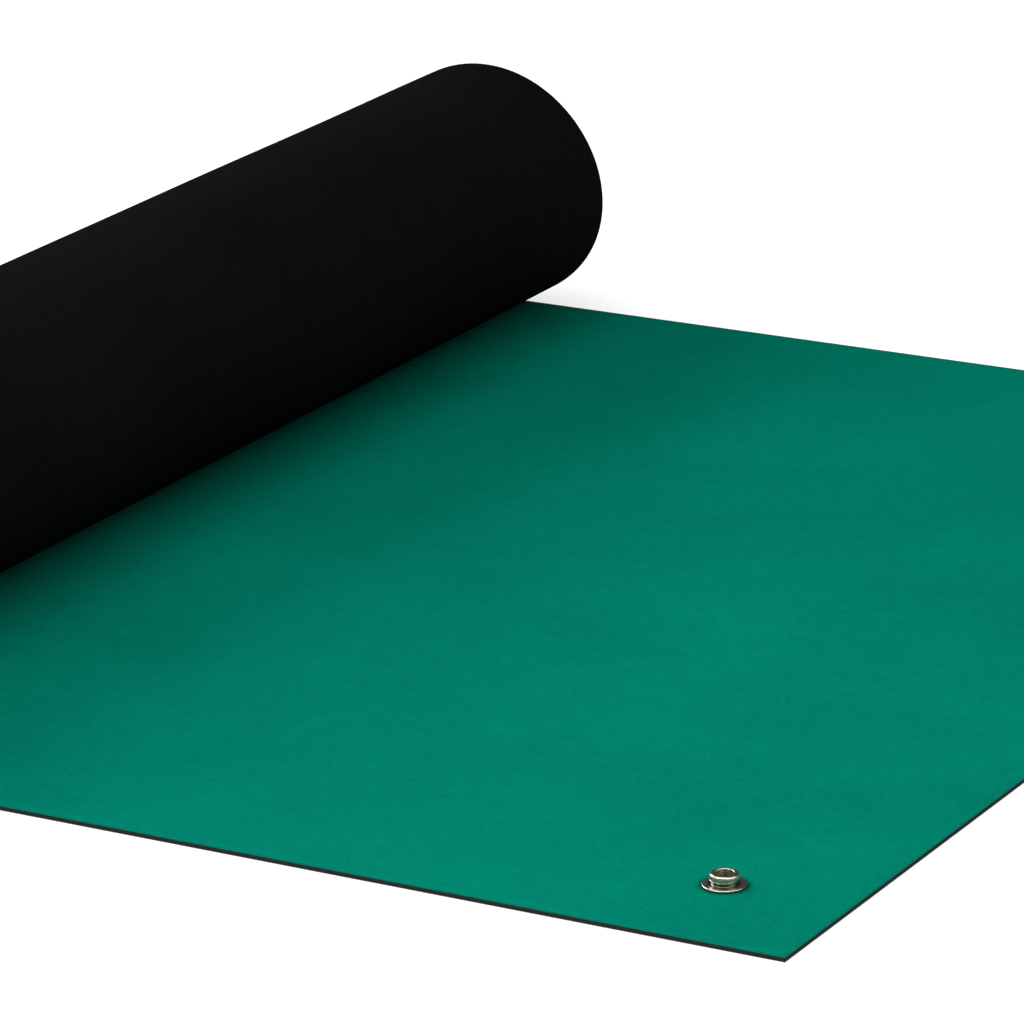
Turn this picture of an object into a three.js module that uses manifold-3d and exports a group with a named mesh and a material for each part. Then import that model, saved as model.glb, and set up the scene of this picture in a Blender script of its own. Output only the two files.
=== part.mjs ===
// Anti-static bench mat: a two-layer rubber sheet, partly unrolled, with a press stud near one free corner.
// It lies green side up on a level bench at z = 0, and the far end of the sheet is wound into a soft roll.
// +X runs along the sheet from the roll to the free end, +Y along the roll, and +Z up.
// The origin is under the middle of the whole mat. Lengths are in millimetres and angles in radians.
import * as THREE from "three";
import { mergeVertices } from "three/addons/utils/BufferGeometryUtils.js";
import Module from "manifold-3d";

// The sheet, as it is cut and sold
const sheetLength = 1200;
const sheetWidth = 600;
const baseThickness = 1.5;
const topThickness = 0.5;

// How the sheet lies: a flat stretch from the free end, then the roll
const flatLength = 448.5;
const rollBreadth = 111;
const rollHeight = 104;
const rollSlump = 0.045; // share by which the roll is wider below its middle and narrower above it
const turnGap = 0.35;
const facetsPerTurn = 72;

// The male press stud, a stamped metal button on the green face
const studFromEnd = 45;
const studFromSide = 45;
const studHeight = 4.4;
const studHeadRadius = 5;
const studNeckRadius = 4.4;
const studNeckHeight = 1.3;
const studShoulder = 1;
const studFlangeRadius = 7.5;
const studFlangeThickness = 0.7;
const studWellRadius = 3.2;
const studWellFloor = 0.9;
const studEdgeRound = 0.3;

// The rivet post that holds the stud, let into the black underside
const postTubeRadius = 2;
const postBoreRadius = 1.4;
const postBoreFloor = 1;
const postHeadRadius = 6.5;
const postHeadThickness = 0.5;
const postHeadEdge = 0.2;
const postLipOverhang = 0.7;
const postLipThickness = 0.5;
const tubeClearance = 0.15;
const headClearance = 0.2;

// How finely round metal is divided, how far a cut runs past a face, and the distance at which vertices merge
const metalSides = 48;
const curvePoints = 4;
const cutMargin = 1;
const mergeDistance = 1e-4;

const blackRubber = { color: 0x141414, roughness: 0.85, metalness: 0 };
const greenRubber = { color: 0x04826a, roughness: 0.8, metalness: 0 };
const platedBrass = { color: 0xcabd96, roughness: 0.3, metalness: 1 };

const sheetThickness = baseThickness + topThickness;
const turnPitch = sheetThickness + turnGap;
const facetAngle = (2 * Math.PI) / facetsPerTurn;
const tubeHoleRadius = postTubeRadius + tubeClearance;

// The roll's middle: the sheet starts to curl straight below it, with its black face on the bench.
const rollMiddleX = -flatLength;
const rollMiddleZ = (rollHeight + turnPitch / 2) / 2;
const rollHalfBreadth = (rollBreadth + turnPitch) / 2;

const wasm = await Module();
wasm.setup();

// A closed geometry as a solid that can be cut.
function solidFrom(geometry) {
  const bare = geometry.clone();
  bare.deleteAttribute("normal");
  bare.deleteAttribute("uv");
  const merged = mergeVertices(bare, mergeDistance);
  return new wasm.Manifold(
    new wasm.Mesh({
      numProp: 3,
      vertProperties: merged.attributes.position.array,
      triVerts: new Uint32Array(merged.index.array),
    }),
  );
}

// A cut solid as a geometry, with flat shading.
function geometryFrom(solid) {
  const mesh = solid.getMesh();
  const geometry = new THREE.BufferGeometry()
    .setAttribute("position", new THREE.BufferAttribute(mesh.vertProperties, 3))
    .setIndex(new THREE.BufferAttribute(mesh.triVerts, 1))
    .toNonIndexed();
  geometry.computeVertexNormals();
  return geometry;
}

// An upright solid or hole tool turned round the stud's axis, from a profile of radius and height.
function turned(profile) {
  return new THREE.LatheGeometry(profile, metalSides)
    .rotateX(Math.PI / 2)
    .translate(-studFromEnd, studFromSide - sheetWidth / 2, 0);
}

function cylinderTool(radius, bottom, top) {
  return turned([
    new THREE.Vector2(0, bottom),
    new THREE.Vector2(radius, bottom),
    new THREE.Vector2(radius, top),
    new THREE.Vector2(0, top),
  ]);
}

// A point of the rolled sheet in its side view. The winding starts under the roll's middle, climbs the back
// and comes over the top, and depth goes from the black face into the sheet.
function rolledPoint(winding, depth) {
  const inward = (turnPitch * winding) / (2 * Math.PI) + depth;
  const slumped = 1 + rollSlump * Math.cos(winding);
  return new THREE.Vector2(
    rollMiddleX - (rollHalfBreadth - inward) * slumped * Math.sin(winding),
    rollMiddleZ - (rollMiddleZ - inward) * Math.cos(winding),
  );
}

// The windings of the sheet's facets, up to the one where the whole sheet length is used.
function facetWindings() {
  const windings = [0];
  let left = sheetLength - flatLength;
  while (left > 0) {
    const winding = windings.at(-1);
    const step = rolledPoint(winding, sheetThickness / 2).distanceTo(
      rolledPoint(winding + facetAngle, sheetThickness / 2),
    );
    windings.push(winding + facetAngle * Math.min(1, left / step));
    left -= step;
  }
  return windings;
}

const windings = facetWindings();

// One layer of the sheet, flat stretch and roll together, between two depths from the black face.
function sheetLayer(fromDepth, toDepth) {
  const side = (depth) => [
    new THREE.Vector2(0, depth),
    ...windings.map((winding) => rolledPoint(winding, depth)),
  ];
  const outline = new THREE.Shape([...side(fromDepth), ...side(toDepth).reverse()]);
  return new THREE.ExtrudeGeometry(outline, { depth: sheetWidth, bevelEnabled: false })
    .rotateX(Math.PI / 2)
    .translate(0, sheetWidth / 2, 0);
}

const tubeHole = solidFrom(cylinderTool(tubeHoleRadius, -cutMargin, sheetThickness + cutMargin));
const headPocket = solidFrom(
  cylinderTool(postHeadRadius + headClearance, -cutMargin, postHeadThickness),
);

function baseLayer() {
  const sheet = solidFrom(sheetLayer(0, baseThickness));
  return geometryFrom(sheet.subtract(tubeHole).subtract(headPocket));
}

function topLayer() {
  return geometryFrom(solidFrom(sheetLayer(baseThickness, sheetThickness)).subtract(tubeHole));
}

// The stud: a flat flange, a waisted neck that leaves the flange's seat open to the width of the head, a
// rounded head, and a well with the post's hole in its floor.
function pressStud() {
  const seat = sheetThickness;
  const flangeTop = seat + studFlangeThickness;
  const waist = flangeTop + studNeckHeight / 2;
  const head = flangeTop + studNeckHeight;
  const crown = seat + studHeight;
  const profile = new THREE.Path()
    .moveTo(tubeHoleRadius, seat)
    .lineTo(studFlangeRadius - studEdgeRound, seat)
    .quadraticCurveTo(studFlangeRadius, seat, studFlangeRadius, (seat + flangeTop) / 2)
    .quadraticCurveTo(studFlangeRadius, flangeTop, studFlangeRadius - studEdgeRound, flangeTop)
    .lineTo(studHeadRadius, flangeTop)
    .quadraticCurveTo(studNeckRadius, flangeTop, studNeckRadius, waist)
    .quadraticCurveTo(studNeckRadius, head, studHeadRadius, head)
    .lineTo(studHeadRadius, crown - studShoulder)
    .quadraticCurveTo(studHeadRadius, crown, studHeadRadius - studShoulder, crown)
    .lineTo(studWellRadius + studEdgeRound, crown)
    .quadraticCurveTo(studWellRadius, crown, studWellRadius, crown - studEdgeRound)
    .lineTo(studWellRadius, seat + studWellFloor)
    .lineTo(tubeHoleRadius, seat + studWellFloor)
    .lineTo(tubeHoleRadius, seat);
  return turned(profile.getPoints(curvePoints));
}

// The post: a flat head under the mat, a tube up through it, and a lip rolled over the stud's well floor.
function rivetPost() {
  const lipSeat = sheetThickness + studWellFloor;
  const lipTop = lipSeat + postLipThickness;
  const lipRadius = postTubeRadius + postLipOverhang;
  const profile = new THREE.Path()
    .moveTo(0, 0)
    .lineTo(postHeadRadius - postHeadEdge, 0)
    .lineTo(postHeadRadius, postHeadEdge)
    .lineTo(postHeadRadius, postHeadThickness)
    .lineTo(postTubeRadius, postHeadThickness)
    .lineTo(postTubeRadius, lipSeat)
    .lineTo(lipRadius, lipSeat)
    .quadraticCurveTo(lipRadius, lipTop, postTubeRadius, lipTop)
    .quadraticCurveTo(postBoreRadius, lipTop, postBoreRadius, lipSeat)
    .lineTo(postBoreRadius, postBoreFloor)
    .lineTo(0, postBoreFloor);
  return turned(profile.getPoints(curvePoints));
}

const mat = new THREE.Group();

function add(name, geometry, finish) {
  const mesh = new THREE.Mesh(geometry, new THREE.MeshStandardMaterial(finish));
  mesh.name = name;
  mat.add(mesh);
}

add("base_layer", baseLayer(), blackRubber);
add("top_layer", topLayer(), greenRubber);
add("snap_stud", pressStud(), platedBrass);
add("snap_post", rivetPost(), platedBrass);

// The free end was at x = 0 so far. This puts the origin under the middle of the whole mat.
const backOfRoll = Math.min(...windings.map((winding) => rolledPoint(winding, 0).x));
mat.position.x = -backOfRoll / 2;

export default mat;
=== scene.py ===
# Anti-static bench mat: green rubber bonded over black, its far part wound into a soft roll, with a press
# stud near one free corner. Everything is in metres, in the same frame as the CAD model.
import math

import bmesh
import bpy
from mathutils import Euler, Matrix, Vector


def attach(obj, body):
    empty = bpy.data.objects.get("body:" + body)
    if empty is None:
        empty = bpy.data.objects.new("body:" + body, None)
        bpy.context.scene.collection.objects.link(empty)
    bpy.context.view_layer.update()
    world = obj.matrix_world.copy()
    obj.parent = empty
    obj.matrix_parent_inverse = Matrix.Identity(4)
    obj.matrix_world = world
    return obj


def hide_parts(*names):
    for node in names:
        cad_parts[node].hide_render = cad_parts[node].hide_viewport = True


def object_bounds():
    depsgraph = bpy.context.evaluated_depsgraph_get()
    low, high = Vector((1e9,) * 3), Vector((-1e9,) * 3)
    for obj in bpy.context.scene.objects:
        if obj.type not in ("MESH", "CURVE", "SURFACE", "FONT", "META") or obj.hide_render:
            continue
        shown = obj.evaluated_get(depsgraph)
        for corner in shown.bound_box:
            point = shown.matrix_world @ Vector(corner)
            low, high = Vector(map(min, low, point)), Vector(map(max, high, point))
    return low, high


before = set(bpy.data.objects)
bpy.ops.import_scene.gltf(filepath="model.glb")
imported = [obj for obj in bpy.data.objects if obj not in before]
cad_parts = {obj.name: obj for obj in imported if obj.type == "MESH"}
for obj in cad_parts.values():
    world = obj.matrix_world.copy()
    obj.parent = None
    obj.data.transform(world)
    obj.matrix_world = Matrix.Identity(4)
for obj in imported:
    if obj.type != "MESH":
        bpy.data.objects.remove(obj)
cadLow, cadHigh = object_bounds()
print("frame loaded", sorted(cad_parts))


# Shape of the sheet as it lies

sheet = {
    "length": 1.2,  # the whole cut sheet, roll included
    "flatLength": 0.4485,  # from the free end to where it starts to curl
    "baseThickness": 0.0015,
    "topThickness": 0.0005,
    "rollBreadth": 0.111,
    "rollHeight": 0.104,
    "rollSlump": 0.045,  # wider below its middle, narrower above
    "turnGap": 0.00035,
    "cell": 0.005,  # spacing of the mesh across the sheet, and along it round the stud
    "spacings": [(0.06, 0.005), (0.44, 0.01), (1.2, 0.0025)],  # along it: up to here, this far apart
    "edgeRound": 0.00012,
    "edgeSteps": 2,
    "crease": 25,  # degrees past which an edge is drawn sharp
    "rubbedBand": 0.0025,  # how far in from the cut edges the faces are rubbed
    "shadeGrimeReach": 0.003,  # how far the painted shade and grime spread from the stud's flange
    "drift": 0.0013,  # how far the inner turns creep out of line at the roll's ends
    "driftRate": 0.8,
    "wobble": 0.00035,  # how uneven the roll is along its length
    "waves": [(1, 9.5, 2, 0.6), (0.6, 23, -3, 2.1), (0.4, 41, 1, 0)],  # size, per metre, per turn, phase
}

sameHeight = 1e-6
mergeDistance = 1e-7

width = cadHigh.y - cadLow.y
freeEnd = cadHigh.x
thickness = sheet["baseThickness"] + sheet["topThickness"]
turnPitch = thickness + sheet["turnGap"]
rollMiddle = Vector((freeEnd - sheet["flatLength"], 0, (sheet["rollHeight"] + turnPitch / 2) / 2))
halfBreadth = (sheet["rollBreadth"] + turnPitch) / 2


# x and z of a point on the roll. Depth goes from the black face into the sheet.
def rolledPoint(winding, depth, bulge=0.0):
    inward = turnPitch * winding / math.tau + depth - bulge
    slumped = 1 + sheet["rollSlump"] * math.cos(winding)
    return Vector((
        rollMiddle.x - (halfBreadth - inward) * slumped * math.sin(winding),
        rollMiddle.z - (rollMiddle.z - inward) * math.cos(winding),
    ))


# Pairs of sheet length used and winding reached, measured along the middle of the thickness.
def measureWindings(step=math.radians(0.5)):
    pairs = [(0.0, 0.0)]
    while pairs[-1][0] < sheet["length"] - sheet["flatLength"]:
        used, winding = pairs[-1]
        here = rolledPoint(winding, thickness / 2)
        there = rolledPoint(winding + step, thickness / 2)
        pairs.append((used + (there - here).length, winding + step))
    return pairs


windings = measureWindings()


def windingAt(used):
    low, high = 0, len(windings) - 1
    while high - low > 1:
        middle = (low + high) // 2
        if windings[middle][0] <= used:
            low = middle
        else:
            high = middle
    (a, fromWinding), (b, toWinding) = windings[low], windings[high]
    return fromWinding + (toWinding - fromWinding) * (used - a) / (b - a)


# The roll's slow waves, the same for every turn, and none where it rests on the bench.
def unevenness(winding, across):
    waves = sum(
        size * math.sin(perMetre * across + perTurn * winding + phase)
        for size, perMetre, perTurn, phase in sheet["waves"]
    )
    offTheBench = (1 - math.cos(winding)) / 2
    return sheet["wobble"] * waves * offTheBench / 2


# Where a point of the flat sheet lies. flat is (distance from the free end, across, depth).
def layInPlace(flat):
    used = flat.x - sheet["flatLength"]
    if used <= 0:
        return Vector((freeEnd - flat.x, flat.y, flat.z))
    winding = windingAt(used)
    place = rolledPoint(winding, flat.z, unevenness(winding, flat.y))
    innerWinding = max(winding - math.tau, 0)
    creep = sheet["drift"] * math.sin(sheet["driftRate"] * innerWinding)
    return Vector((place.x, flat.y + creep, place.y))


# Small helpers for the meshes

# Smooth shading, except across edges that turn by more than so many degrees.
def showSharp(bm, degrees):
    for face in bm.faces:
        face.smooth = True
    for edge in bm.edges:
        if len(edge.link_faces) == 2 and edge.calc_face_angle(0) > math.radians(degrees):
            edge.smooth = False


def pieceFrom(bm, name, material, slot, *nodes):
    mesh = bpy.data.meshes.new(name)
    bm.to_mesh(mesh)
    bm.free()
    mesh.materials.append(material)
    piece = bpy.data.objects.new(name, mesh)
    bpy.context.scene.collection.objects.link(piece)
    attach(piece, "root")
    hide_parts(*nodes)
    print("made", name, len(mesh.polygons), "faces")


# Sizes of the press stud and of the rivet post that holds it

stud = {
    "fromEnd": 0.045,
    "fromSide": 0.045,
    "height": 0.0044,
    "headRadius": 0.005,
    "neckRadius": 0.0044,
    "neckHeight": 0.0013,
    "shoulder": 0.001,
    "flangeRadius": 0.0075,
    "flangeThickness": 0.0007,
    "wellRadius": 0.0032,
    "wellFloor": 0.0009,
    "edgeRound": 0.0003,
    "undersideRound": 0.00012,
    "neckRound": 0.0004,
    "headRound": 0.0003,
    "wellRound": 0.0002,
    "sides": 96,
    "roundSteps": 5,
    "crease": 40,
}
post = {
    "tubeRadius": 0.002,
    "boreRadius": 0.0014,
    "boreFloor": 0.001,
    "headRadius": 0.0065,
    "headThickness": 0.0005,
    "headEdge": 0.0002,
    "lipOverhang": 0.0007,
    "lipThickness": 0.0005,
    "cornerRound": 0.0001,
    "lipRound": 0.0002,
    "mouthRound": 0.0004,
    "boreRound": 0.0002,
    "clearance": 0.00015,
    "headClearance": 0.0002,
}
studMiddle = Vector((freeEnd - stud["fromEnd"], cadLow.y + stud["fromSide"], 0))
punchMiddle = Vector((stud["fromEnd"], stud["fromSide"] - width / 2, 0))  # on the flat sheet
holeRadius = post["tubeRadius"] + post["clearance"]
pocketRadius = post["headRadius"] + post["headClearance"]


# Shader node groups and materials

# An empty shader node group. inputs are (name, socket type, default).
def newGroup(name, inputs, outputs):
    group = bpy.data.node_groups.new(name, "ShaderNodeTree")
    for label, kind, value in inputs:
        socket = group.interface.new_socket(name=label, in_out="INPUT", socket_type=kind)
        if value is not None:
            socket.default_value = value
    for label, kind in outputs:
        group.interface.new_socket(name=label, in_out="OUTPUT", socket_type=kind)
    return group


# A node with its settings, and its inputs set or linked by name.
def addNode(tree, kind, settings=None, **values):
    node = tree.nodes.new(kind)
    for key, value in (settings or {}).items():
        setattr(node, key, value)
    for key, value in values.items():
        numbered = key.startswith("in") and key[2:].isdigit()
        socket = node.inputs[int(key[2:]) if numbered else key]
        if isinstance(value, bpy.types.NodeSocket):
            tree.links.new(value, socket)
        else:
            socket.default_value = value
    return node


# Scales are per metre. The From and Full values lie on a noise that runs from 0 to 1.
grain = {
    "pebbleSize": 0.0007,  # unless a material gives its own
    "pebbleShare": 0.5,  # of the tone
    "pebbleDepth": 0.35,  # share of its size
    "slowScale": 9.0,
    "fineScale": 160.0,
    "fineShare": 0.35,
    "streakScale": (30.0, 220.0, 30.0),
    "streakTurn": (0, 0, 0.5),
    "streakFrom": 0.64,
    "streakFull": 0.76,
    "nickScale": 350.0,
    "nickFrom": 0.45,
    "nickFull": 0.62,
    "roughness": 0.55,
    "toneFrom": 0.35,  # where the colour ramp starts and ends
    "toneFull": 0.65,
    "glossFrom": 0.3,  # from the roughest to the smoothest
    "glossFull": 0.7,
}


# Pressed rubber sheet, in its own flat place: slow tone changes, a fine pebble, a few scuffs, and masks for
# the cut faces, for the rubbed band beside them and for the painted shade and grime round the stud.
def makeRubberGroup():
    group = newGroup(
        "pressedRubber",
        [
            ("Place", "NodeSocketVector", None),
            ("Pebble Size", "NodeSocketFloat", grain["pebbleSize"]),
            ("Scuffs", "NodeSocketFloat", 0.5),
        ],
        [(label, "NodeSocketFloat") for label in ("Tone", "Pebble", "Scuff", "Cut", "Rubbed", "ShadeAndGrime")],
    )
    start = group.nodes.new("NodeGroupInput")
    end = group.nodes.new("NodeGroupOutput")
    place = start.outputs["Place"]

    def calculate(operation, first, second=0.0):
        node = addNode(group, "ShaderNodeMath", {"operation": operation}, in0=first, in1=second)
        return node.outputs[0]

    def ramp(value, low, high, atLow, atHigh):
        return addNode(
            group, "ShaderNodeMapRange", None, in0=value, in1=low, in2=high, in3=atLow, in4=atHigh
        ).outputs[0]

    def noise(vector, scale, detail):
        return addNode(
            group, "ShaderNodeTexNoise", None, Vector=vector, Scale=scale, Detail=detail,
            Roughness=grain["roughness"],
        ).outputs[0]

    perMetre = calculate("DIVIDE", 1.0, start.outputs["Pebble Size"])
    tone = addNode(
        group, "ShaderNodeMix", {"data_type": "FLOAT"}, in0=grain["fineShare"],
        in2=noise(place, grain["slowScale"], 3.0), in3=noise(place, grain["fineScale"], 3.0),
    )
    pebble = noise(place, perMetre, 2.0)
    grained = addNode(
        group, "ShaderNodeMix", {"data_type": "FLOAT"}, in0=grain["pebbleShare"], in2=tone.outputs[0],
        in3=pebble,
    )
    stretched = addNode(
        group, "ShaderNodeMapping", None, Vector=place, Scale=grain["streakScale"],
        Rotation=grain["streakTurn"],
    )
    streaks = ramp(
        noise(stretched.outputs[0], 1.0, 5.0), grain["streakFrom"], grain["streakFull"], 0.0, 1.0
    )

    parts = addNode(group, "ShaderNodeSeparateXYZ", None, Vector=place)
    farGap = calculate("SUBTRACT", sheet["length"], parts.outputs["X"])
    endGap = calculate("MINIMUM", parts.outputs["X"], farGap)
    sideGap = calculate("SUBTRACT", width / 2, calculate("ABSOLUTE", parts.outputs["Y"]))
    gap = calculate("MINIMUM", endGap, sideGap)
    atFace = punchMiddle + Vector((0, 0, thickness))
    fromStud = addNode(
        group, "ShaderNodeVectorMath", {"operation": "DISTANCE"}, in0=place, in1=tuple(atFace)
    ).outputs["Value"]
    # A dark ring round the stud's flange: painted contact shade, partly real grime.
    shadeGrimeMask = ramp(fromStud, stud["flangeRadius"], stud["flangeRadius"] + sheet["shadeGrimeReach"], 1.0, 0.0)
    nicks = ramp(
        noise(place, grain["nickScale"], 4.0), grain["nickFrom"], grain["nickFull"], 0.0, 1.0
    )

    for label, value in (
        ("Tone", grained.outputs[0]),
        ("Pebble", pebble),
        ("Scuff", calculate("MULTIPLY", streaks, start.outputs["Scuffs"])),
        ("Cut", ramp(gap, 0.0, sheet["edgeRound"], 1.0, 0.0)),
        ("ShadeAndGrime", calculate("MULTIPLY", shadeGrimeMask, shadeGrimeMask)),
        ("Rubbed", calculate("MULTIPLY", nicks, ramp(gap, 0.0, sheet["rubbedBand"], 1.0, 0.0))),
    ):
        group.links.new(value, end.inputs[label])
    return group


rubberGroup = makeRubberGroup()


def rubberMaterial(name, look):
    material = bpy.data.materials.new(name)
    material.use_nodes = True
    tree = material.node_tree
    shader = tree.nodes["Principled BSDF"]
    place = addNode(tree, "ShaderNodeAttribute", {"attribute_name": "flatPlace"})
    rubber = addNode(tree, "ShaderNodeGroup", {"node_tree": rubberGroup})
    tree.links.new(place.outputs["Vector"], rubber.inputs["Place"])
    rubber.inputs["Pebble Size"].default_value = look["pebbleSize"]
    rubber.inputs["Scuffs"].default_value = look["scuffs"]
    colour = addNode(tree, "ShaderNodeValToRGB", None, Fac=rubber.outputs["Tone"])
    colour.color_ramp.elements[0].position = grain["toneFrom"]
    colour.color_ramp.elements[0].color = (*look["darker"], 1)
    colour.color_ramp.elements[1].position = grain["toneFull"]
    colour.color_ramp.elements[1].color = (*look["lighter"], 1)
    covered = colour.outputs[0]
    # The ring round the stud's flange gets painted contact shade mixed with grime.
    for mask, tint in (
        ("Scuff", "scuffed"), ("Rubbed", "scuffed"), ("ShadeAndGrime", "shadedAndGrimed"), ("Cut", "cutFace"),
    ):
        covered = addNode(
            tree, "ShaderNodeMix", {"data_type": "RGBA"}, in0=rubber.outputs[mask], in6=covered,
            in7=(*look[tint], 1),
        ).outputs[2]
    rough = addNode(
        tree, "ShaderNodeMapRange", None, in0=rubber.outputs["Tone"], in1=grain["glossFrom"],
        in2=grain["glossFull"], in3=look["roughest"], in4=look["smoothest"],
    )
    bump = addNode(
        tree, "ShaderNodeBump", None, Height=rubber.outputs["Pebble"], Strength=look["relief"],
        Distance=look["pebbleSize"] * grain["pebbleDepth"],
    )
    tree.links.new(covered, shader.inputs["Base Color"])
    tree.links.new(rough.outputs[0], shader.inputs["Roughness"])
    tree.links.new(bump.outputs[0], shader.inputs["Normal"])
    shader.inputs["Specular IOR Level"].default_value = look["gloss"]
    return material


greenLook = {
    "lighter": (0.0005, 0.158, 0.1065),
    "darker": (0.0004, 0.112, 0.075),
    "scuffed": (0.0012, 0.150, 0.104),
    # The ring round the stud's flange: painted contact shade, partly grime.
    "shadedAndGrimed": (0.0015, 0.038, 0.024),
    "cutFace": (0.003, 0.135, 0.096),
    "pebbleSize": 0.0009,
    "scuffs": 0.15,
    "relief": 0.9,
    "roughest": 0.9,
    "smoothest": 0.75,
    "gloss": 0.0,
}
blackLook = {
    "lighter": (0.0060, 0.0060, 0.0061),
    "darker": (0.0030, 0.0030, 0.0031),
    # The ring round the stud's flange: painted contact shade, partly grime.
    "scuffed": (0.0062, 0.0062, 0.0063),
    "shadedAndGrimed": (0.0035, 0.0035, 0.0033),
    "cutFace": (0.021, 0.023, 0.022),
    "pebbleSize": 0.0006,
    "scuffs": 0.4,
    "relief": 1.0,
    "roughest": 0.95,
    "smoothest": 0.8,
    "gloss": 0.0,
}
greenRubber = rubberMaterial("greenRubber", greenLook)
blackRubber = rubberMaterial("blackRubber", blackLook)


# Plated brass, turned and buffed round the stud's axis, with painted shade and some grime darkening its neck
# and the flange beside it.
def metalMaterial(name, look):
    material = bpy.data.materials.new(name)
    material.use_nodes = True
    tree = material.node_tree
    shader = tree.nodes["Principled BSDF"]
    where = addNode(tree, "ShaderNodeTexCoord")
    centred = addNode(
        tree, "ShaderNodeMapping", None, Vector=where.outputs["Object"], Location=tuple(-studMiddle)
    )
    parts = addNode(tree, "ShaderNodeSeparateXYZ", None, Vector=centred.outputs[0])
    flatPart = addNode(
        tree, "ShaderNodeVectorMath", {"operation": "MULTIPLY"}, in0=centred.outputs[0], in1=(1, 1, 0)
    )
    radius = addNode(tree, "ShaderNodeVectorMath", {"operation": "LENGTH"}, in0=flatPart.outputs[0])
    ringPlace = addNode(
        tree, "ShaderNodeCombineXYZ", None, X=radius.outputs["Value"], Z=parts.outputs["Z"]
    )
    rings = addNode(
        tree, "ShaderNodeTexNoise", None, Vector=ringPlace.outputs[0], Scale=look["ringScale"], Detail=2.0
    )
    patches = addNode(
        tree, "ShaderNodeTexNoise", None, Vector=centred.outputs[0], Scale=look["patchScale"], Detail=3.0
    )
    colour = addNode(tree, "ShaderNodeValToRGB", None, Fac=patches.outputs[0])
    colour.color_ramp.elements[0].position = look["patchFrom"]
    colour.color_ramp.elements[0].color = (*look["tarnished"], 1)
    colour.color_ramp.elements[1].position = look["patchFull"]
    colour.color_ramp.elements[1].color = (*look["bright"], 1)
    # The neck and the inner flange are darkened: painted shade under the head's overhang, with some grime.
    neck = addNode(
        tree, "ShaderNodeMapRange", {"interpolation_type": "SMOOTHSTEP"}, in0=parts.outputs["Z"],
        in1=look["shadeGrimeTop"], in2=look["shadeGrimeTop"] + look["shadeGrimeFade"], in3=look["neckShadeGrime"], in4=0.0,
    )
    outward = addNode(
        tree, "ShaderNodeMapRange", {"interpolation_type": "SMOOTHSTEP"}, in0=radius.outputs["Value"],
        in1=look["shadeGrimeFrom"], in2=look["shadeGrimeEnd"], in3=1.0, in4=0.0,
    )
    shadeGrimeMask = addNode(
        tree, "ShaderNodeMath", {"operation": "MULTIPLY"}, in0=neck.outputs[0], in1=outward.outputs[0]
    )
    shadedAndGrimed = addNode(
        tree, "ShaderNodeMix", {"data_type": "RGBA"}, in0=shadeGrimeMask.outputs[0], in6=colour.outputs[0],
        in7=(*look["shadedAndGrimed"], 1),
    )
    rough = addNode(
        tree, "ShaderNodeMapRange", None, in0=patches.outputs[0], in1=grain["glossFrom"],
        in2=grain["glossFull"], in3=look["roughest"], in4=look["smoothest"],
    )
    bump = addNode(
        tree, "ShaderNodeBump", None, Height=rings.outputs[0], Strength=look["relief"],
        Distance=look["ringDepth"],
    )
    tree.links.new(shadedAndGrimed.outputs[2], shader.inputs["Base Color"])
    tree.links.new(rough.outputs[0], shader.inputs["Roughness"])
    tree.links.new(bump.outputs[0], shader.inputs["Normal"])
    shader.inputs["Metallic"].default_value = 1.0
    return material


brassLook = {
    "bright": (0.68, 0.67, 0.55),
    "tarnished": (0.45, 0.43, 0.32),
    # Near-black: painted shade at the neck, with some grime.
    "shadedAndGrimed": (0.05, 0.052, 0.034),
    "patchScale": 420.0,
    "patchFrom": 0.35,
    "patchFull": 0.6,
    # How strongly the neck is darkened with painted shade and grime, and the heights and radii where it
    # fades.
    "neckShadeGrime": 0.85,
    "shadeGrimeTop": thickness + stud["flangeThickness"] + stud["neckHeight"] - 0.0001,
    "shadeGrimeFade": 0.0005,
    "shadeGrimeFrom": stud["neckRadius"] + 0.0002,  # radii between which the painted shade and grime fade out on the flange
    "shadeGrimeEnd": stud["headRadius"] + 0.0012,
    "ringScale": 2500.0,
    "ringDepth": 0.00002,
    "relief": 0.12,
    "roughest": 0.36,
    "smoothest": 0.22,
}
platedBrass = metalMaterial("platedBrass", brassLook)
print("materials ready")


# The two layers of the sheet

hole = {
    "cells": 2,  # the patch round the hole reaches this many cells each way
    "sides": 48,
    "dent": 0.00012,  # how far the flange sinks into the rubber round it
    "dentReach": 0.0016,
    "dentEnd": 4,  # times its reach, where it has faded out
    "pastPocket": 0.0018,  # a ring of the mesh this far outside the head's pocket
    "underHead": 0.004,  # radius of the ring halfway under the post's head
    "pastFlange": (0.0015, 0.0009, 0.0004),
    "underFlange": 0.005,
}

# Rings of the mesh round the hole, from outside in, as (radius, height above the layer's underside)
baseRings = [
    (pocketRadius + hole["pastPocket"], 0),
    (pocketRadius, 0),
    (pocketRadius, post["headThickness"]),
    (hole["underHead"], post["headThickness"]),
    (holeRadius, post["headThickness"]),
]
topRings = [
    *((stud["flangeRadius"] + past, 0) for past in hole["pastFlange"]),
    (stud["flangeRadius"], 0),
    (hole["underFlange"], 0),
    (holeRadius, 0),
]


# Distances from the free end at which the mesh has a line of points across the sheet.
def meshLines():
    lines = [0.0]
    for end, spacing in sheet["spacings"]:
        start = lines[-1]
        count = round((end - start) / spacing)
        lines += [start + (end - start) * (index + 1) / count for index in range(count)]
    return lines


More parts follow.
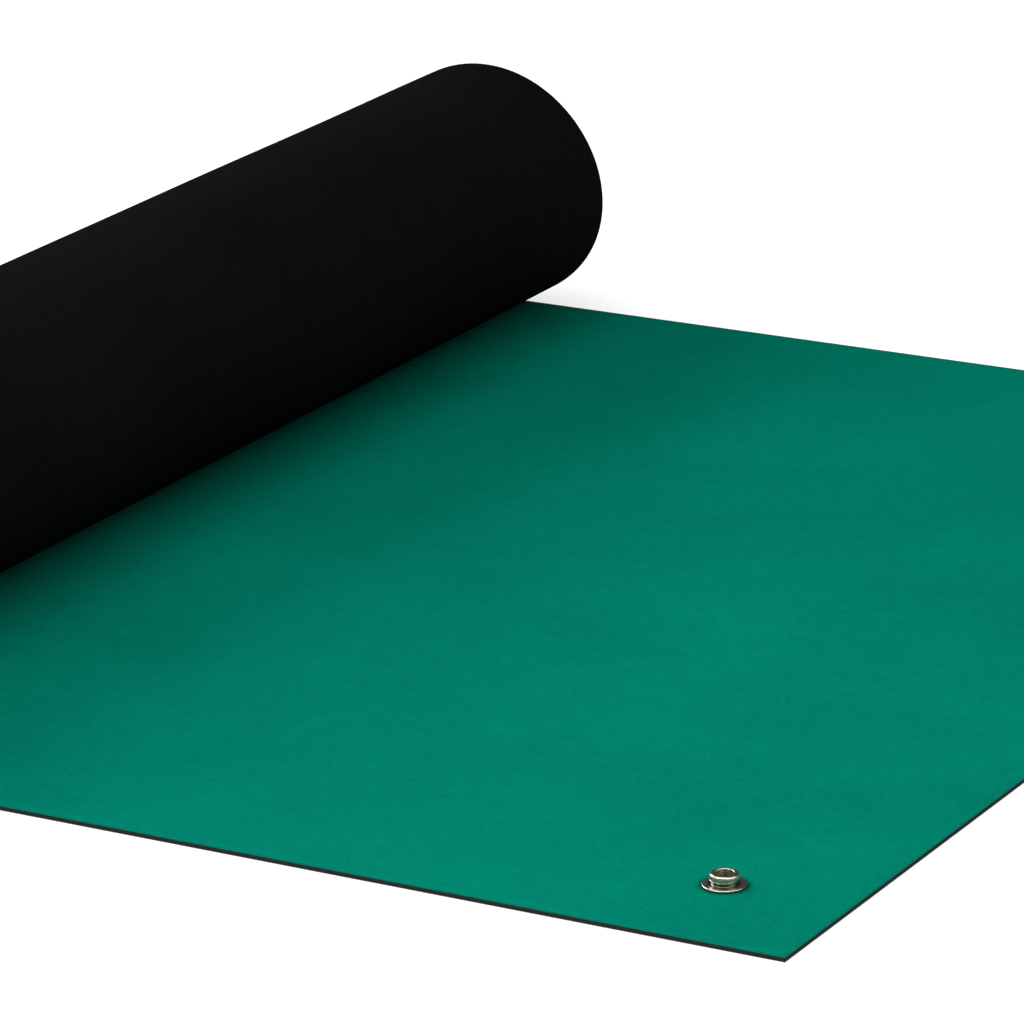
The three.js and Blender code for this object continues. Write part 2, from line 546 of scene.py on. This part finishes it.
# The sheet's outline as a flat grid, x from the free end, y across.
def flatGrid():
    bm = bmesh.new()
    lines = meshLines()
    alongCells = len(lines) - 1
    acrossCells = round(width / sheet["cell"])
    bmesh.ops.create_grid(bm, x_segments=alongCells, y_segments=acrossCells, size=0.5)
    bmesh.ops.translate(bm, verts=bm.verts, vec=(0.5, 0, 0))
    bmesh.ops.scale(bm, verts=bm.verts, vec=(alongCells, width, 1))
    for vert in bm.verts:
        vert.co.x = lines[round(vert.co.x)]
    return bm


# Turns a direction to a point of a square's side into one that is evenly spaced on a circle.
def evenDirection(offset):
    angle = math.atan2(offset.y, offset.x)
    quarter = round(angle / (math.pi / 2)) * math.pi / 2
    even = quarter + math.tan(angle - quarter) * math.pi / 4
    return Vector((math.cos(even), math.sin(even), 0))


# Opens a square patch of the grid and fills it again with rings of faces down to the hole.
def openHole(bm, rings):
    reach = hole["cells"] * sheet["cell"]

    def within(place, slack):
        return max(abs(place.x - punchMiddle.x), abs(place.y - punchMiddle.y)) < reach + slack

    def rimEdges():
        near = [edge for edge in bm.edges if edge.is_boundary]
        return [edge for edge in near if all(within(vert.co, sheet["cell"] / 10) for vert in edge.verts)]

    patch = [face for face in bm.faces if within(face.calc_center_median(), 0)]
    bmesh.ops.delete(bm, geom=patch, context="FACES")
    rim = rimEdges()
    bmesh.ops.subdivide_edges(bm, edges=rim, cuts=hole["sides"] // len(rim) - 1)
    for index, (radius, height) in enumerate(rings):
        grown = bmesh.ops.extrude_edge_only(bm, edges=rimEdges() if index == 0 else rim)["geom"]
        for vert in [item for item in grown if isinstance(item, bmesh.types.BMVert)]:
            offset = vert.co - punchMiddle
            direction = evenDirection(offset) if index == 0 else Vector((offset.x, offset.y, 0)).normalized()
            vert.co = punchMiddle + direction * radius + Vector((0, 0, height))
        rim = [item for item in grown if isinstance(item, bmesh.types.BMEdge) and item.is_boundary]


# A slab of the flat sheet between two depths, with the post's hole through it and its upper face flat.
def layer(bottom, top, rings):
    bm = flatGrid()
    openHole(bm, rings)
    up = bmesh.ops.extrude_face_region(bm, geom=bm.faces[:], use_keep_orig=True)
    raised = [item for item in up["geom"] if isinstance(item, bmesh.types.BMVert)]
    for vert in raised:
        vert.co.z = top - bottom
    bmesh.ops.remove_doubles(bm, verts=raised, dist=mergeDistance)
    bmesh.ops.translate(bm, verts=bm.verts, vec=(0, 0, bottom))
    bmesh.ops.recalc_face_normals(bm, faces=bm.faces)
    return bm


# Rounds the sheet's cut edges at one height.
def roundRims(bm, height):
    rims = [
        edge for edge in bm.edges
        if len(edge.link_faces) == 2 and edge.calc_face_angle(0) > math.radians(sheet["crease"])
        and all(abs(vert.co.z - height) < sameHeight for vert in edge.verts)
    ]
    bmesh.ops.bevel(
        bm, geom=rims, offset=sheet["edgeRound"], offset_type="OFFSET", segments=sheet["edgeSteps"],
        profile=0.5, affect="EDGES", material=-1,
    )


# Presses the stud's flange a little into the face at one height.
def dent(bm, height):
    for vert in bm.verts:
        if abs(vert.co.z - height) < sameHeight:
            beyond = (vert.co.xy - punchMiddle.xy).length - stud["flangeRadius"]
            if beyond < hole["dentEnd"] * hole["dentReach"]:
                fade = math.exp(-((max(beyond, 0) / hole["dentReach"]) ** 2))
                vert.co.z -= hole["dent"] * fade


# Keeps each point's place on the flat sheet, then moves it to where it lies.
def lay(bm):
    flatPlace = bm.verts.layers.float_vector.new("flatPlace")
    for vert in bm.verts:
        vert[flatPlace] = vert.co
        vert.co = layInPlace(vert.co)
    bmesh.ops.reverse_faces(bm, faces=bm.faces)  # x runs the other way once the sheet is laid


blackLayer = layer(0, sheet["baseThickness"], baseRings)
roundRims(blackLayer, 0)
showSharp(blackLayer, sheet["crease"])
lay(blackLayer)
pieceFrom(blackLayer, "baseRubber", blackRubber, "black_rubber", "base_layer")

greenLayer = layer(sheet["baseThickness"], thickness, topRings)
roundRims(greenLayer, thickness)
dent(greenLayer, thickness)
showSharp(greenLayer, sheet["crease"])
lay(greenLayer)
pieceFrom(greenLayer, "topRubber", greenRubber, "green_rubber", "top_layer")


# The press stud and its rivet post

# Spins a profile round the stud's axis. corners are (radius, height, rounding).
def turnedPiece(corners, closed):
    bm = bmesh.new()
    verts = [bm.verts.new((radius, 0, height)) for radius, height, _ in corners]
    edges = [bm.edges.new(pair) for pair in zip(verts, verts[1:])]
    if closed:
        edges.append(bm.edges.new((verts[-1], verts[0])))
    bmesh.ops.spin(
        bm, geom=verts + edges, cent=(0, 0, 0), axis=(0, 0, 1), angle=math.tau,
        steps=stud["sides"], use_merge=True,
    )
    bmesh.ops.remove_doubles(bm, verts=bm.verts, dist=mergeDistance)
    bmesh.ops.recalc_face_normals(bm, faces=bm.faces)
    for radius, height, rounding in corners:
        if rounding:
            corner = {
                vert for vert in bm.verts
                if abs(vert.co.z - height) < mergeDistance
                and abs(vert.co.xy.length - radius) < mergeDistance
            }
            ring = [edge for edge in bm.edges if corner.issuperset(edge.verts)]
            bmesh.ops.bevel(
                bm, geom=ring, offset=rounding, offset_type="OFFSET", segments=stud["roundSteps"],
                profile=0.5, affect="EDGES", material=-1,
            )
    return bm


def studProfile():
    seat = thickness
    flangeTop = seat + stud["flangeThickness"]
    head = flangeTop + stud["neckHeight"]
    crown = seat + stud["height"]
    return [
        (holeRadius, seat, 0),
        (stud["flangeRadius"], seat, stud["undersideRound"]),
        (stud["flangeRadius"], flangeTop, stud["edgeRound"]),
        (stud["neckRadius"], flangeTop, stud["neckRound"]),
        (stud["neckRadius"], head, stud["neckRound"]),
        (stud["headRadius"], head, stud["headRound"]),
        (stud["headRadius"], crown, stud["shoulder"]),
        (stud["wellRadius"], crown, stud["edgeRound"]),
        (stud["wellRadius"], seat + stud["wellFloor"], stud["wellRound"]),
        (holeRadius, seat + stud["wellFloor"], 0),
    ]


def postProfile():
    lipSeat = thickness + stud["wellFloor"]
    lipTop = lipSeat + post["lipThickness"]
    lipRadius = post["tubeRadius"] + post["lipOverhang"]
    return [
        (0, 0, 0),
        (post["headRadius"], 0, post["headEdge"]),
        (post["headRadius"], post["headThickness"], post["cornerRound"]),
        (post["tubeRadius"], post["headThickness"], 0),
        (post["tubeRadius"], lipSeat, 0),
        (lipRadius, lipSeat, post["cornerRound"]),
        (lipRadius, lipTop, post["lipRound"]),
        (post["boreRadius"], lipTop, post["mouthRound"]),
        (post["boreRadius"], post["boreFloor"], post["boreRound"]),
        (0, post["boreFloor"], 0),
    ]


for name, profile, closed, node in (
    ("pressStud", studProfile(), True, "snap_stud"),
    ("rivetPost", postProfile(), False, "snap_post"),
):
    turned = turnedPiece(profile, closed)
    bmesh.ops.translate(turned, verts=turned.verts, vec=studMiddle)
    showSharp(turned, stud["crease"])
    pieceFrom(turned, name, platedBrass, "stud_metal", node)


# Floor, lights and camera

stage = {
    "floorHalf": 30,
    "floorDrop": 0.0002,  # keeps the floor off the mat's underside
    "floorGrey": (0.45, 0.45, 0.45),
    "floorGlow": 0.62,
    "floorRoughness": 0.9,
    "skyStrength": 0.05,
}


def plainMaterial(name, colour, glow, roughness):
    material = bpy.data.materials.new(name)
    material.use_nodes = True
    shader = material.node_tree.nodes["Principled BSDF"]
    shader.inputs["Base Color"].default_value = (*colour, 1)
    shader.inputs["Roughness"].default_value = roughness
    shader.inputs["Specular IOR Level"].default_value = 0.0
    shader.inputs["Emission Color"].default_value = (1, 1, 1, 1)
    shader.inputs["Emission Strength"].default_value = glow
    return material


floorMesh = bmesh.new()
bmesh.ops.create_grid(floorMesh, x_segments=1, y_segments=1, size=stage["floorHalf"])
bmesh.ops.translate(floorMesh, verts=floorMesh.verts, vec=(0, 0, -stage["floorDrop"]))
floorData = bpy.data.meshes.new("floor")
floorMesh.to_mesh(floorData)
floorMesh.free()
palePaper = plainMaterial("palePaper", stage["floorGrey"], stage["floorGlow"], stage["floorRoughness"])
floorData.materials.append(palePaper)
floor = bpy.data.objects.new("floor", floorData)
bpy.context.scene.collection.objects.link(floor)

lights = [
    {"name": "keyLight", "place": (-1.56, 0, 0.9), "size": 1, "power": 37},
    {"name": "leftLight", "place": (-0.64, -1.1, 1.27), "size": 1, "power": 11},
    {"name": "frontLight", "place": (0.1, -0.9, 1.6), "size": 1.6, "power": 21.5},
    {"name": "rightLight", "place": (1.5, 0, 0.9), "size": 1.6, "power": 11},
    {"name": "nearLight", "place": (0.75, -0.6, 0.9), "size": 0.8, "power": 4.5},
]
for light in lights:
    data = bpy.data.lights.new(light["name"], "AREA")
    data.shape = "DISK"
    data.size = light["size"]
    data.energy = light["power"]
    lamp = bpy.data.objects.new(light["name"], data)
    lamp.location = light["place"]
    lamp.rotation_euler = (-Vector(light["place"])).to_track_quat("-Z", "Y").to_euler()
    lamp.visible_camera = False
    bpy.context.scene.collection.objects.link(lamp)

world = bpy.data.worlds.new("studio")
world.use_nodes = True
sky = world.node_tree.nodes["Background"]
sky.inputs["Color"].default_value = (1, 1, 1, 1)
sky.inputs["Strength"].default_value = stage["skyStrength"]
bpy.context.scene.world = world
bpy.context.scene.view_settings.view_transform = "Standard"

camera = {
    "place": (freeEnd + 0.816504, -1.880715, 0.738440),
    "turn": (71.6889, 1.1906, 29.5760),  # degrees about X, Y and Z
    "lens": 215.65,
    "sensor": 36,
}
cameraData = bpy.data.cameras.new("camera")
cameraData.lens = camera["lens"]
cameraData.sensor_width = camera["sensor"]
cameraObject = bpy.data.objects.new("camera", cameraData)
cameraObject.location = camera["place"]
cameraObject.rotation_euler = Euler([math.radians(angle) for angle in camera["turn"]])
bpy.context.scene.collection.objects.link(cameraObject)
bpy.context.scene.camera = cameraObject
print("stage, lights and camera ready")
